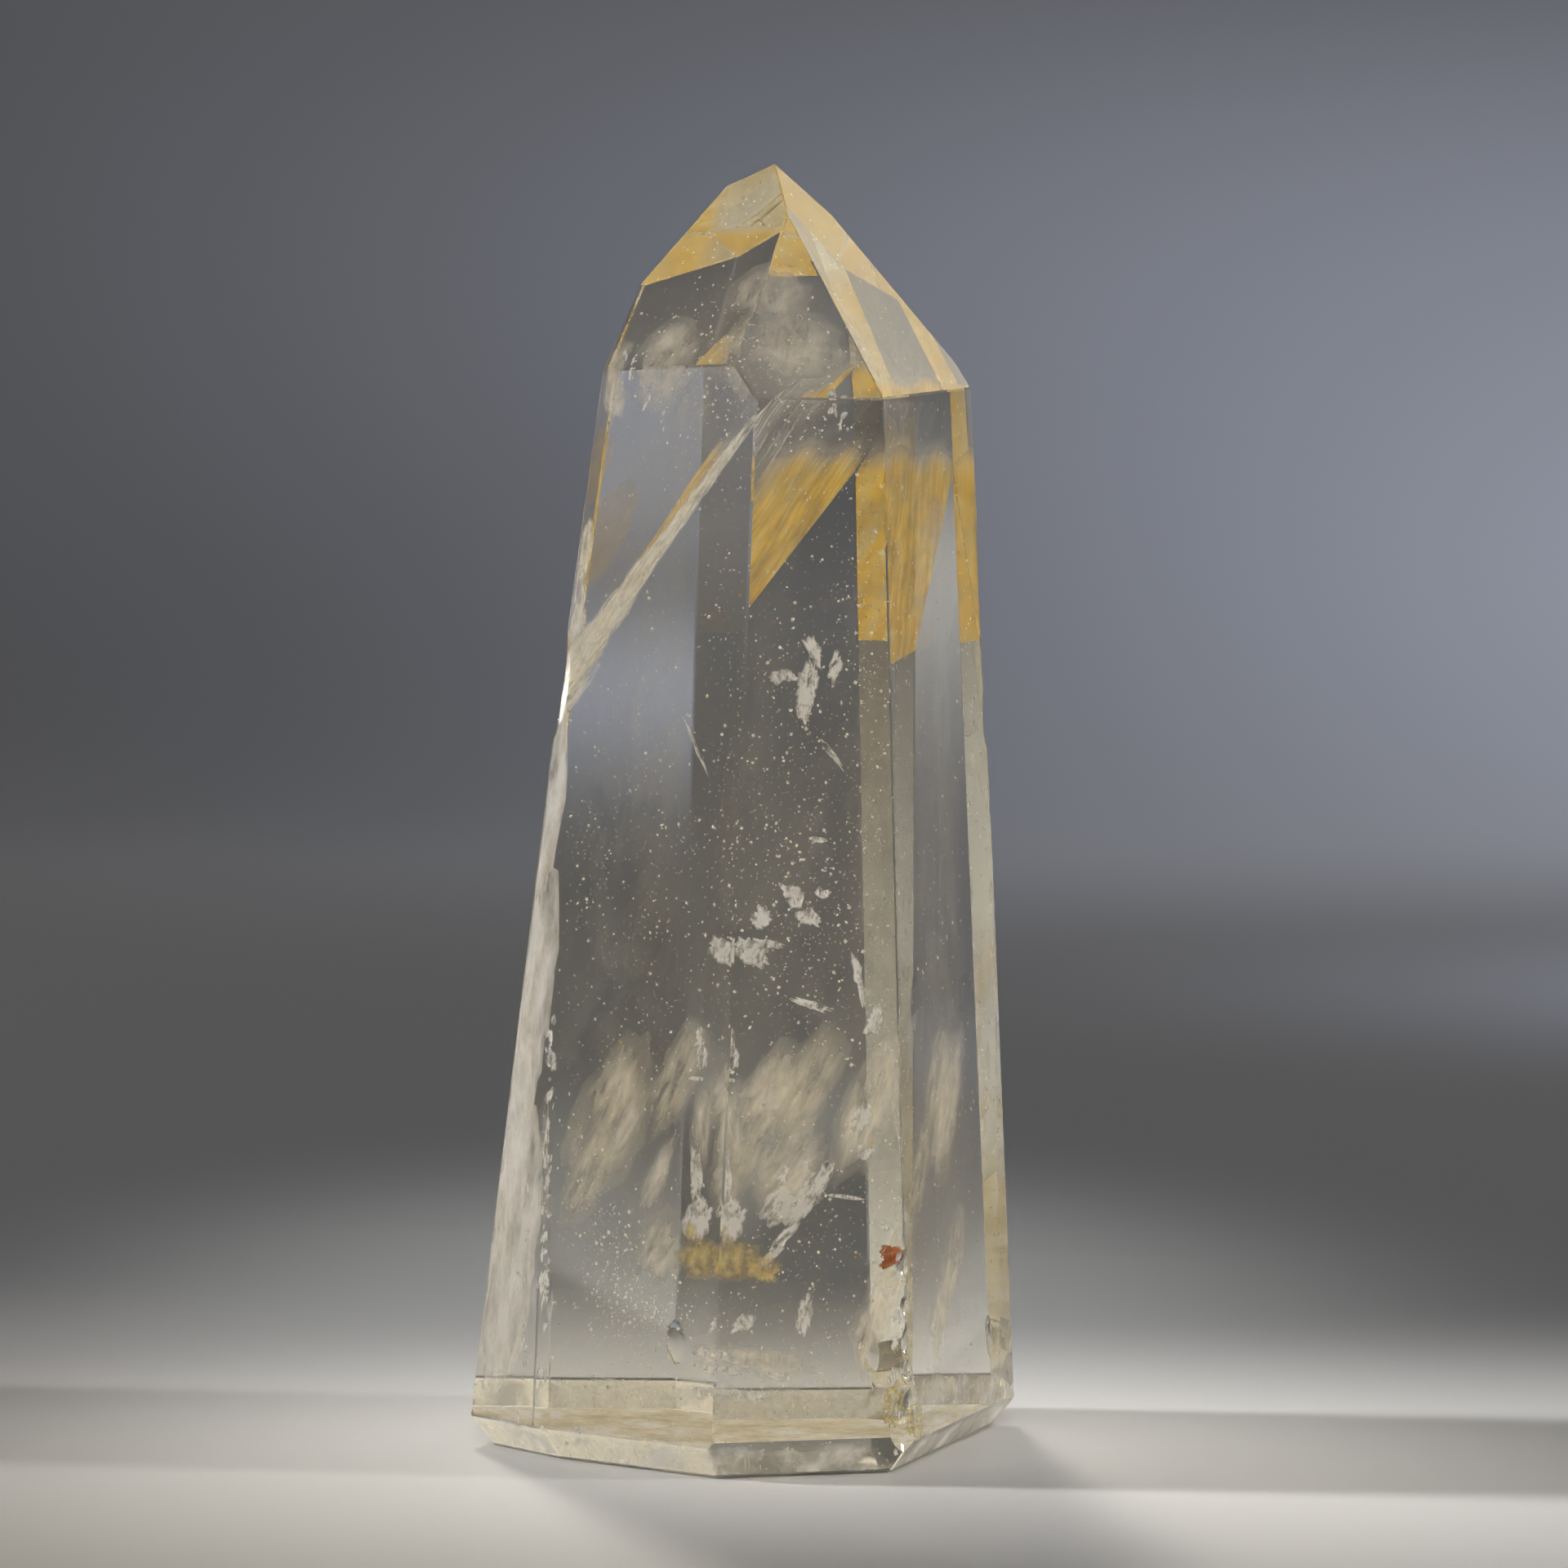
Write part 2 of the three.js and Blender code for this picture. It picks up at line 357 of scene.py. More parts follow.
def crack_shape(wall):
    """Rows are evenly spaced up the line; columns share out each row's stretch inside the crystal.
    The sheet then waves gently along its normal by two crossed sines, and slower sines make the
    stain's borders wander. wall 0 is the iron wall and wall 1 the silvery one, which stands
    CRACK_GAPE to the left of it."""
    along, into = unit(CRACK_ALONG), unit(CRACK_INTO)
    aside = unit(np.cross(along, into))
    aside = aside * -np.sign(aside[0])
    up = np.linspace(*CRACK_ENDS, CRACK_GRID[0])
    starts = CRACK_MIDDLE + up[:, None] * along + wall * CRACK_GAPE * aside
    enter, leave = chord(starts, np.broadcast_to(into, starts.shape))
    kept = leave - enter > CRACK_SHORTEST
    up, starts, enter, leave = up[kept, None], starts[kept], enter[kept, None], leave[kept, None]
    share = np.linspace(0, 1, CRACK_GRID[1])
    travelled = enter + share * (leave - enter)
    inward = travelled - enter
    wave = np.sin(up * 0.9 + 0.5) * np.sin(travelled * 0.45) * np.sqrt(np.sin(np.pi * share))
    points = starts[:, None] + travelled[..., None] * into
    points = points + (CRACK_SWELL * wave)[..., None] * aside
    stained = smooth_step(*STAIN_INWARD, inward + 0.4 * np.sin(up * 1.7))
    stained = stained * smooth_step(*STAIN_UPWARD, points[..., 2] + 0.25 * np.sin(travelled * 0.9))
    ending = smooth_step(*CRACK_HEALS, up - up.min() + 0.5 * np.sin(travelled * 1.3))
    values = {
        "ending": ending.ravel(),
        "up": (up * np.ones_like(inward)).ravel(),
        "inward": inward.ravel(),
        "stained": (stained * (1 - wall)).ravel(),
        "wall": np.full(inward.size, float(wall)),
    }
    return points.reshape(-1, 3), grid_faces(len(up), CRACK_GRID[1]), values


# %% Healed crack: silvery film and iron stain
CRACK_STREAK = (4.545, 0.625)                   # mm long up the crack, and mm wide
CRACK_BLOTCH = 3.571                            # mm across a patch of thicker stain
CRACK_SILVER_REACH = 20.0                       # mm inwards over which the silver dies away
CRACK_OPENS = (-12.0, 3.0)                      # mm up the crack: gaping, then nearly shut


def healed_crack():
    """Opal and iron oxide in a healed crack: a film of tiny fluid pockets. One wall scatters
    silver, most where it gapes low and near the face; the other glows amber where iron stained it.
    The pockets grew in streaks up the crack, so both patterns are stretched that way."""
    material, tree, out = new_material("healed_crack")
    up, inward, stained, wall, ending = (
        add(tree, "ShaderNodeAttribute", attribute_name=value).outputs["Fac"]
        for value in ("up", "inward", "stained", "wall", "ending")
    )
    place = add(tree, "ShaderNodeCombineXYZ", {"X": up, "Y": inward})
    stretched = add(tree, "ShaderNodeMapping", {
        "Vector": place, "Scale": (1 / CRACK_STREAK[0], 1 / CRACK_STREAK[1], 1.0),
    })
    streaks = add(tree, "ShaderNodeTexNoise", {
        "Vector": stretched, "Scale": 1.0, "Detail": 5.0, "Roughness": 0.6,
    })
    blotches = add(tree, "ShaderNodeTexNoise", {
        "Vector": place, "Scale": 1 / CRACK_BLOTCH, "Detail": 3.0, "Roughness": 0.55,
    })
    amber = add(tree, "ShaderNodeValToRGB", {"Fac": streaks}, stops=[
        (0.32, "#e3b23c"), (0.5, "#f3cb58"), (0.66, "#fbe6a2"),
    ])
    silver = add(tree, "ShaderNodeValToRGB", {"Fac": streaks}, stops=[
        (0.35, "#e9e4da"), (0.6, "#fffdf6"),
    ])
    colour = add(tree, "ShaderNodeMix", {0: stained, 6: silver, 7: amber}, data_type="RGBA")
    thin = add(tree, "ShaderNodeValToRGB", {"Fac": streaks}, stops=[
        (0.36, 0.1), (0.5, 0.45), (0.64, 1.0),
    ])
    fading = add(tree, "ShaderNodeMapRange", {
        "Value": inward, "From Max": CRACK_SILVER_REACH, "To Min": 1.0, "To Max": 0.05,
    })
    gaping = add(tree, "ShaderNodeMapRange", {
        "Value": up, "From Min": CRACK_OPENS[0], "From Max": CRACK_OPENS[1], "To Min": 1.6, "To Max": 0.55,
    })
    silvery = add(tree, "ShaderNodeMath", {0: thin, 1: fading}, operation="MULTIPLY")
    silvery = add(tree, "ShaderNodeMath", {0: silvery, 1: gaping}, operation="MULTIPLY", use_clamp=True)
    silvery = add(tree, "ShaderNodeMath", {0: silvery, 1: wall}, operation="MULTIPLY")
    stain = add(tree, "ShaderNodeValToRGB", {"Fac": blotches}, stops=[(0.3, 0.45), (0.6, 0.85)])
    cover = add(tree, "ShaderNodeMix", {0: stained, 2: silvery, 3: stain})
    cover = add(tree, "ShaderNodeMath", {0: cover, 1: ending}, operation="MULTIPLY")
    film(tree, out, colour.outputs[2], cover, roughness=0.4, through=0.5)
    return material


walls = [crack_shape(0), crack_shape(1)]
crack_points, crack_faces, crack_values = joined(walls)
crack = new_piece("healed_crack", crack_points, crack_faces, healed_crack(), crack_values)
sealed_in(crack)
print("the crack lies at least", round(depth(crack_points).min(), 3), "mm inside")


# %% [markdown]
# ## Flakes and needles
# Small flat cracks that healed or stayed open show as bright, angular flakes, because light bounces
# off the thin film in them. A flake could be a picture on a card, but a real outline catches the
# light from every side. So a flake is a small polar grid: spokes run out from its middle to a
# ragged outline with a few sharp corners, and the surface is crumpled a little by crossed sines.

# %% One flake as a polar grid
FLAKE_RINGS = 7
FLAKE_SPOKES = 40
LEAST_SPOKE = 0.05      # mm, where a flake's middle is nearly at a ground face


def looking(azimuth, rise):
    """The unit vector that looks along an azimuth from -Y towards +X and up by rise, in degrees."""
    turn, tip = math.radians(azimuth), math.radians(rise)
    return np.array([math.sin(turn) * math.cos(tip), -math.cos(turn) * math.cos(tip), math.sin(tip)])


def axes_across(facing, turn):
    """Two unit vectors square to facing, level and steepest up before turn leans them over in the
    plane, in degrees, clockwise as seen from where it faces."""
    level = unit(np.cross([0.0, 0.0, 1.0], facing))
    steep = np.cross(facing, level)
    lean = math.radians(turn)
    across = math.cos(lean) * level - math.sin(lean) * steep
    upward = math.sin(lean) * level + math.cos(lean) * steep
    return across, upward


def flake(rng, middle, size, turn=0, azimuth=5, rise=3, corners=7, jagged=0.45, crumple=0.05):
    """Radius along a spoke = an ellipse's radius times a jagged factor that runs straight between
    random corners. Each spoke stops short of the nearest ground face. Three random sines, about a
    wave across each, crumple the sheet. Its own across and upward places, in mm, carry its pattern,
    so that streaks run along it; across begins anywhere, so that no two flakes match."""
    middle = np.asarray(middle, float)
    width, height = size
    facing = looking(azimuth, rise)
    across, upward = axes_across(facing, turn)
    angle = np.linspace(0, 2 * np.pi, FLAKE_SPOKES, endpoint=False)
    corner_at = np.sort(rng.uniform(0, 2 * np.pi, corners))
    corner_out = 1 - jagged * rng.uniform(0, 1, corners)
    factor = np.interp(angle, corner_at, corner_out, period=2 * np.pi)
    factor = factor * (1 + 0.25 * jagged * rng.uniform(-1, 1, FLAKE_SPOKES))
    sideways = (factor * width / 2 * np.cos(angle))[:, None]
    upwards = (factor * height / 2 * np.sin(angle))[:, None]
    spokes = sideways * across + upwards * upward
    length = np.linalg.norm(spokes, axis=1)
    _, leave = chord(np.broadcast_to(middle, spokes.shape), spokes / length[:, None])
    spokes = spokes * np.minimum(1, np.maximum(leave, LEAST_SPOKE) / length)[:, None]
    share = np.linspace(0, 1, FLAKE_RINGS)[:, None]
    offsets = share[..., None] * spokes
    waves = rng.uniform(-1, 1, (3, 3)) * 6 / max(width, height)
    phases = rng.uniform(0, 2 * np.pi, 3)
    swell = np.sin(offsets @ waves + phases).sum(-1) * crumple * (1 - share)
    points = middle + offsets + swell[..., None] * facing
    begin = rng.uniform(0, 50)
    values = {
        "rim": (share * np.ones_like(swell)).ravel(),
        "across": (begin + share * factor * width / 2 * np.cos(angle)).ravel(),
        "upward": (share * factor * height / 2 * np.sin(angle)).ravel(),
    }
    return points.reshape(-1, 3), grid_faces(FLAKE_RINGS, FLAKE_SPOKES, wrap=True), values


print("a flake has", FLAKE_RINGS * FLAKE_SPOKES, "points")

# %% Flake finishes
FILM_RELIEF = 0.15      # mm: coarser than the real film, so that its crinkles show


def flake_film(name, deep, pale, clear_below, solid_above, grain,
               streak=1, most=1, detail=7, rim_fade=(0.42, 0.6)):
    """A flat crack's film. Where its noise is under clear_below it is nearly clear, and over
    solid_above it is thick and pale. grain is the width of a patch in mm, streak how many times
    longer it is along the flake, and most the thickest cover. The rim frays: the film thins out
    where the way out to the rim, times the noise, passes through rim_fade."""
    material, tree, out = new_material(name)
    across, upward, rim = (
        add(tree, "ShaderNodeAttribute", attribute_name=value).outputs["Fac"]
        for value in ("across", "upward", "rim")
    )
    place = add(tree, "ShaderNodeCombineXYZ", {"X": across, "Y": upward})
    drawn_out = add(tree, "ShaderNodeMapping", {
        "Vector": place, "Scale": (1 / grain, 1 / grain / streak, 1.0),
    })
    patches = add(tree, "ShaderNodeTexNoise", {
        "Vector": drawn_out, "Scale": 1.0, "Detail": float(detail), "Roughness": 0.62,
    })
    frayed = add(tree, "ShaderNodeMath", {0: rim, 1: patches}, operation="MULTIPLY")
    frayed = add(tree, "ShaderNodeValToRGB", {"Fac": frayed}, stops=[
        (rim_fade[0], 1.0), (rim_fade[1], 0.0),
    ])
    thick = add(tree, "ShaderNodeValToRGB", {"Fac": patches}, stops=[
        (clear_below, 0.0), (solid_above, most),
    ])
    cover = add(tree, "ShaderNodeMath", {0: thick, 1: frayed}, operation="MULTIPLY")
    colour = add(tree, "ShaderNodeValToRGB", {"Fac": patches}, stops=[
        (clear_below, deep), (solid_above, pale),
    ])
    relief = add(tree, "ShaderNodeBump", {
        "Height": patches, "Distance": FILM_RELIEF * MM, "Strength": 0.7,
    })
    film(tree, out, colour, cover, roughness=0.35, through=0.45, relief=relief)
    return material


# Air in a flat crack: bright, hard and silvery.
SILVER = flake_film("silvery_flake", "#d6d2c8", "#ffffff", 0.34, 0.52, grain=0.5, streak=2.2)

# %% Silvery flakes
# Each row: middle in mm, (width, height) in mm, and its turn and azimuth in degrees.
FLAKES = [
    # the branching cluster high in the front face
    ((3.0, -8.7, 39.3), (1.6, 3.8), 10, 5),
    ((1.9, -9.0, 39.8), (2.1, 1.0), -8, -10),
    ((3.3, -8.6, 41.0), (1.1, 2.2), -20, 15),
    ((4.3, -8.4, 40.2), (1.0, 2.8), 25, 20),
    ((2.7, -8.8, 37.9), (1.0, 1.2), 0, 0),
    # angular plates at mid height
    ((0.6, -10.4, 27.8), (1.6, 1.4), -30, 25),
    ((2.1, -9.9, 29.0), (1.8, 1.0), 20, -15),
    ((3.0, -9.3, 27.7), (1.8, 1.2), 35, 10),
    ((2.5, -10.4, 28.6), (1.2, 1.1), -15, 30),
    ((3.7, -9.6, 28.9), (0.9, 0.8), 0, 5),
    # the three-cornered flake and its tail
    ((-0.1, -9.2, 26.1), (3.0, 1.9), 24, -6),
    ((0.9, -9.8, 26.5), (2.2, 0.6), 12, 5),
    # small bright ones below it
    ((-1.0, -8.6, 20.7), (1.1, 1.8), 8, 5),
    ((-1.1, -8.4, 21.5), (0.9, 1.4), 0, -15),
    ((-1.3, -8.4, 19.5), (1.4, 0.4), 0, -15),
    ((5.5, -9.2, 17.6), (1.5, 2.8), 22, 5),
    ((5.7, -9.1, 15.9), (1.0, 1.5), 30, 20),
    ((3.0, -10.5, 23.5), (3.2, 0.6), 18, 5),
    ((5.6, -9.8, 24.6), (0.6, 4.0), -12, 5),
    ((6.4, -9.7, 22.5), (1.1, 3.0), 14, 15),
    # the upright plate and the white streak across it
    ((-1.4, -9.1, 15.0), (1.2, 3.8), 0, -15),
    ((-0.9, -9.0, 12.6), (2.5, 3.2), 0, -14),
    ((0.6, -8.8, 10.3), (0.9, 3.2), 48, 5),
    ((1.6, -8.5, 11.6), (1.0, 3.8), 44, 15),
    ((2.7, -8.0, 13.4), (1.2, 4.0), 38, 0),
    ((1.9, -7.5, 14.0), (2.8, 4.5), 35, 12),
    ((3.6, -8.4, 14.6), (1.0, 2.5), 30, -10),
    ((4.8, -9.5, 13.7), (3.1, 0.4), 4, 5),
    # needles
    ((-2.0, -8.6, 36.5), (0.4, 4.0), -28, -15),
    ((4.2, -8.6, 35.8), (0.4, 2.6), -38, 5),
    ((3.4, -9.2, 31.6), (1.5, 0.5), 10, 5),
    # low flakes
    ((-0.4, -11.1, 7.5), (1.9, 1.1), -25, 5),
    ((-1.6, -11.9, 6.0), (2.0, 0.8), 5, -12),
    ((-1.0, -11.5, 5.2), (1.5, 0.6), 15, 20),
    ((2.8, -10.3, 7.8), (0.9, 2.8), 10, 5),
    ((1.6, -11.6, 4.9), (1.5, 0.6), 12, 5),
    ((-10.7, -3.2, 5.6), (1.4, 1.4), 0, -50),
    ((-0.2, -11.4, 4.0), (4.0, 0.8), 6, 5),
]
rng = np.random.default_rng(7)      # seeded, so that every run draws the same outlines


def placed(name, rows, finish, slot, **form):
    """One piece out of all the flakes in rows, and how far inside the nearest ground face it lies."""
    flakes = [flake(rng, middle, size, turn, azimuth, **form) for middle, size, turn, azimuth in rows]
    points, faces, values = joined(flakes)
    sealed_in(new_piece(name, points, faces, finish, values))
    print(name, "at least", round(depth(points).min(), 2), "mm inside")


placed("silvery_flakes", FLAKES, SILVER, "healed_fracture", corners=8, jagged=0.65)


# %% [markdown]
# ## Specks
# Thousands of tiny pockets, most smaller than a tenth of a millimetre, sparkle all through the
# crystal. A pattern in the glass could stand for them, but it has no edges to catch the light. So
# each is a little eight-sided solid, stretched and turned at random, and drawn about twice as
# coarse as most real ones to show. One seeded generator scatters them evenly, and more thickly in
# clouds where they cluster.

# %% Specks as small solids
OCTAHEDRON = np.array([[1, 0, 0], [-1, 0, 0], [0, 1, 0], [0, -1, 0], [0, 0, 1], [0, 0, -1]], float)
OCTAHEDRON_FACES = np.array([
    [0, 2, 4], [2, 1, 4], [1, 3, 4], [3, 0, 4], [2, 0, 5], [1, 2, 5], [3, 1, 5], [0, 3, 5],
])


def specks(rng, places, smallest, largest):
    """An octahedron at each place: its corners stretched along three random lengths, then turned
    by a random rotation made from a random quaternion."""
    count = len(places)
    reach = smallest * (largest / smallest) ** rng.uniform(0, 1, (count, 1, 1)) ** 3
    lengths = reach * rng.uniform(0.45, 1.0, (count, 1, 3)) / 2
    w, x, y, z = unit(rng.normal(size=(count, 4))).T
    turns = np.stack([
        np.stack([1 - 2 * (y * y + z * z), 2 * (x * y - w * z), 2 * (x * z + w * y)], -1),
        np.stack([2 * (x * y + w * z), 1 - 2 * (x * x + z * z), 2 * (y * z - w * x)], -1),
        np.stack([2 * (x * z - w * y), 2 * (y * z + w * x), 1 - 2 * (x * x + y * y)], -1),
    ], -2)
    corners = np.einsum("nij,nkj->nki", turns, OCTAHEDRON * lengths)
    points = places[:, None] + corners
    faces = OCTAHEDRON_FACES + 6 * np.arange(count)[:, None, None]
    return points.reshape(-1, 3), faces.reshape(-1, 3)


def scattered(rng, count):
    """Places spread evenly through the crystal's box, keeping those at least 0.3 mm inside."""
    places = rng.uniform(low, high, (count * 3, 3))
    return places[depth(places) > 0.3][:count]


def clustered(rng, clouds):
    """Places in soft clouds, keeping those at least 0.25 mm inside. Each cloud is (middle, spreads
    along x y z, how many)."""
    places = np.concatenate([
        rng.normal(middle, spread, (count, 3)) for middle, spread, count in clouds
    ])
    return places[depth(places) > 0.25]


# %% Pale specks and iron specks
SPECK_TONE = 2.5        # mm over which their tone changes


def speck_finish(name, colour):
    """A gas pocket or a grain of iron oxide: a plain pale or orange dot, a little glossy. Neighbours
    match in tone and far ones differ."""
    material, tree, out = new_material(name)
    place = add(tree, "ShaderNodeTexCoord").outputs["Object"]
    shade = add(tree, "ShaderNodeTexNoise", {
        "Vector": place, "Scale": 1 / (SPECK_TONE * MM), "Detail": 1.0,
    })
    tone = add(tree, "ShaderNodeValToRGB", {"Fac": shade}, stops=[(0.35, colour[0]), (0.65, colour[1])])
    surface = add(tree, "ShaderNodeBsdfPrincipled", {"Base Color": tone, "Roughness": 0.3})
    tree.links.new(surface.outputs["BSDF"], out.inputs["Surface"])
    return material


PALE_CLOUDS = [
    ((2.6, -7.6, 33.0), (1.9, 1.6, 8.0), 760),      # all down the front
    ((-4.6, -5.4, 28.0), (2.2, 1.6, 8.0), 260),
    ((-5.6, -7.4, 9.5), (1.9, 0.9, 1.8), 560),      # low on the left of the front
    ((-4.4, -9.0, 7.6), (1.6, 0.7, 0.8), 300),
    ((-7.0, -5.6, 12.5), (1.0, 0.8, 2.0), 150),
    ((5.4, -7.4, 44.0), (0.7, 1.4, 4.0), 130),      # a column down the right of the front
    ((6.2, -8.0, 36.0), (0.5, 1.2, 5.0), 90),
    ((5.9, -9.0, 26.0), (0.7, 1.0, 4.0), 130),
    ((3.0, -9.0, 27.5), (1.8, 1.2, 2.2), 120),
    ((2.4, -8.0, 12.0), (2.4, 1.6, 2.6), 200),
    ((-7.6, -4.6, 29.5), (0.9, 0.9, 2.2), 60),      # upper left
    ((1.2, -7.0, 55.0), (2.2, 1.6, 2.0), 420),      # under the point
    ((-3.2, -4.4, 55.6), (1.7, 1.3, 1.5), 160),
    ((0.4, -11.4, 5.0), (3.0, 1.2, 0.9), 220),      # near the base
    ((8.0, -9.5, 22.0), (0.4, 1.0, 7.0), 90),       # along the right front edge
]
rng = np.random.default_rng(21)
pale_places = np.concatenate([scattered(rng, 3000), clustered(rng, PALE_CLOUDS)])
pale_finish = speck_finish("pale_speck", ("#fbf3dc", "#ffffff"))
pale = new_piece("pale_specks", *specks(rng, pale_places, 0.06, 0.3), pale_finish, smooth=False)
sealed_in(pale)

IRON_PLACES = np.array([
    (1.5, -9.3, 34.9), (1.9, -9.2, 34.0), (5.6, -9.3, 34.1), (1.6, -9.7, 25.8), (-1.0, -11.2, 8.7),
    (-0.8, 6.1, 6.7), (-3.1, 8.7, 6.7), (5.9, -9.7, 13.3), (5.3, -6.8, 46.6), (2.2, -8.1, 43.1),
])
iron_places = np.concatenate([IRON_PLACES, scattered(rng, 60)])
iron_finish = speck_finish("iron_speck", ("#c8731c", "#e8b04a"))
iron = new_piece("iron_specks", *specks(rng, iron_places, 0.09, 0.3), iron_finish, smooth=False)
sealed_in(iron)


# %% [markdown]
# ## Milky veils
# Wispy sheets of fluid pockets too small to see one by one. They lean the same way, because they
# grew along the same old cracks. Fog in the glass would work too, but sheets keep the crisp fibres,
# and the glass stays plain. So they are large flakes with a film that is thin, streaky and warm.

# %% Veil films
# Fluid pockets in healed cracks: soft, streaky and cream.
VEIL = flake_film(
    "milky_veil", "#f1e8d3", "#fffaf0", 0.33, 0.62, grain=1.1, streak=4, most=0.9, rim_fade=(0.24, 0.56)
)
# The same, far thinner: it only takes the hardness off what is behind it.
HAZE = flake_film(
    "faint_haze", "#e6e0d2", "#f8f4ea", 0.36, 0.9, grain=1.6, streak=2, most=0.35, rim_fade=(0.2, 0.5)
)
# A dense sheet just under the left face: nearly white, with upright streaks.
CLOUD = flake_film(
    "left_cloud", "#fbf3e2", "#ffffff", 0.24, 0.58, grain=1.5, streak=3, most=0.95, detail=5
)
# Puffs under the point: pale and warm.
TIP_CLOUD = flake_film(
    "tip_cloud", "#efe6d2", "#fffaf0", 0.24, 0.62, grain=1.2, streak=2, most=0.8, rim_fade=(0.22, 0.56)
)
print("veil films:", VEIL.name, HAZE.name, CLOUD.name, TIP_CLOUD.name)

# %% Veils
# Rows as for the flakes.
VEILS = [
    ((-0.9, 11.6, 16.3), (6.0, 12.0), 28, 5),
    ((-3.2, 9.0, 13.0), (4.0, 9.0), 32, 0),
    ((1.6, 6.5, 18.0), (3.4, 9.0), 30, 10),
    ((4.8, 4.4, 17.1), (3.6, 11.0), 24, 40),
    ((6.4, 2.4, 9.0), (3.4, 7.0), 30, 40),
    ((5.4, -0.2, 6.0), (3.2, 6.0), 20, 40),
    ((-1.0, -8.9, 17.0), (1.8, 5.0), 4, -15),
    ((1.9, -7.2, 14.6), (4.4, 6.6), 34, 8),
    ((-3.6, -8.6, 14.6), (1.6, 5.4), 26, -20),
    ((-5.4, -7.0, 16.8), (1.6, 5.0), 30, -20),
    ((0.6, -10.8, 5.6), (6.0, 1.8), 8, 5),
    ((-3.0, -7.6, 11.0), (3.6, 5.0), 30, -20),
    ((0.8, -8.4, 19.0), (2.6, 5.4), 30, 5),
]
LEFT_SHEET = [
    ((-9.6, -4.1, 34.5), (2.8, 14.0), 8, -54),
    ((-10.9, -3.0, 24.0), (6.0, 16.0), 6, -54),
    ((-11.7, -2.4, 10.5), (7.0, 17.0), 4, -54),
    ((-11.2, -1.0, 17.0), (5.0, 22.0), 10, -54),
]
TIP_HAZE = [
    ((2.2, -5.0, 55.4), (6.5, 5.6), 10, 14),
    ((-3.2, -3.4, 55.4), (4.6, 5.4), 30, -45),
    ((1.4, -4.0, 58.4), (4.2, 4.0), 20, 5),
    ((-6.0, -2.2, 54.6), (2.4, 4.4), 24, -55),
    ((-5.6, -2.6, 53.6), (1.6, 2.4), 10, -45),
]
BODY_HAZE = [
    ((-3.0, 2.0, 30.0), (15.0, 52.0), 6, -20),
    ((3.5, -2.5, 27.0), (11.0, 46.0), 10, 14),
    ((6.5, 2.0, 26.0), (10.0, 44.0), 4, 60),
    ((0.0, -1.0, 55.0), (10.0, 14.0), 10, 10),
    ((1.5, 2.0, 54.0), (9.0, 12.0), -30, 40),
]
placed("milky_veils", VEILS, VEIL, "healed_fracture", corners=9, jagged=0.4, crumple=0.3)
placed("left_veil", LEFT_SHEET, CLOUD, "healed_fracture", corners=9, jagged=0.3, crumple=0.05)
placed("tip_haze", TIP_HAZE, TIP_CLOUD, "healed_fracture", corners=9, jagged=0.3)
placed("faint_haze", BODY_HAZE, HAZE, "healed_fracture", corners=9, jagged=0.2, crumple=0.5)

# %% [markdown]
# ## Broken edges
# Where edges were knocked, or the old crack comes out, small shell-shaped cracks run in just under
# the surface and trap air. They shine brightest of all. Gaps could be cut in the body, but a film
# shows the same and keeps the body plain. So each is a small flake; strings of them follow the worn
# edges at random, and the ones beside the crack stretch along it like a feather.

# %% Feather beside the crack
# Air in a splintered crack: fine bright fibres along it.
FEATHERED = flake_film("feathered_crack", "#f3ecdc", "#fffdf4", 0.34, 0.56, grain=0.3, streak=7)
FEATHER_STEPS = [                               # mm up the crack, to its left, and wide
    (-10.5, 0.4, 1.9), (-9.0, 0.9, 2.2), (-7.0, 0.8, 1.8), (-5.0, 0.8, 1.4), (-2.5, 0.7, 1.2),
    (0.0, 0.6, 1.0), (2.5, 0.5, 0.8), (4.5, 0.4, 0.6),
]
FACE_LEVEL = np.array([0.755, -0.656, 0.0])     # level along the front left face
FACE_OUT = looking(-41, 3)                      # out of the front left face
FEATHER_DEEP = 0.45                             # mm under the face
FEATHER_LONG = 7.0                              # mm


def beside_crack(up, aside, beneath):
    """A place up the crack's line, so far up and left of it, and so far beneath the face, in mm."""
    left = -0.77 * FACE_LEVEL + np.array([0.0, 0.0, 0.64])
    return CRACK_MIDDLE + up * unit(CRACK_ALONG) + aside * left - beneath * FACE_OUT


feather = [
    (beside_crack(up, aside, FEATHER_DEEP), (width, FEATHER_LONG), 41, -38)
    for up, aside, width in FEATHER_STEPS
]
feather += [                                    # at the knocked edge where the crack comes out
    ((-8.45, -4.0, 43.4), (1.7, 5.4), 10, -50),
    ((-8.0, -4.25, 46.0), (1.2, 4.0), 8, -50),
]
placed("feathered_crack", feather, FEATHERED, "healed_fracture", corners=7, jagged=0.3)

# %% Worn edges and knocks
KNOCK_SCATTER = 0.22        # mm off the edge's line
KNOCK_SHAPE = (0.7, 1.5)    # width and height by these: most are taller than wide
KNOCK_LEAN = (8, 14)        # degrees: average and spread
KNOCK_FACING = 18           # degrees of spread
KNOCK_SKIN = 0.2            # mm: nearer a face than this, none is set


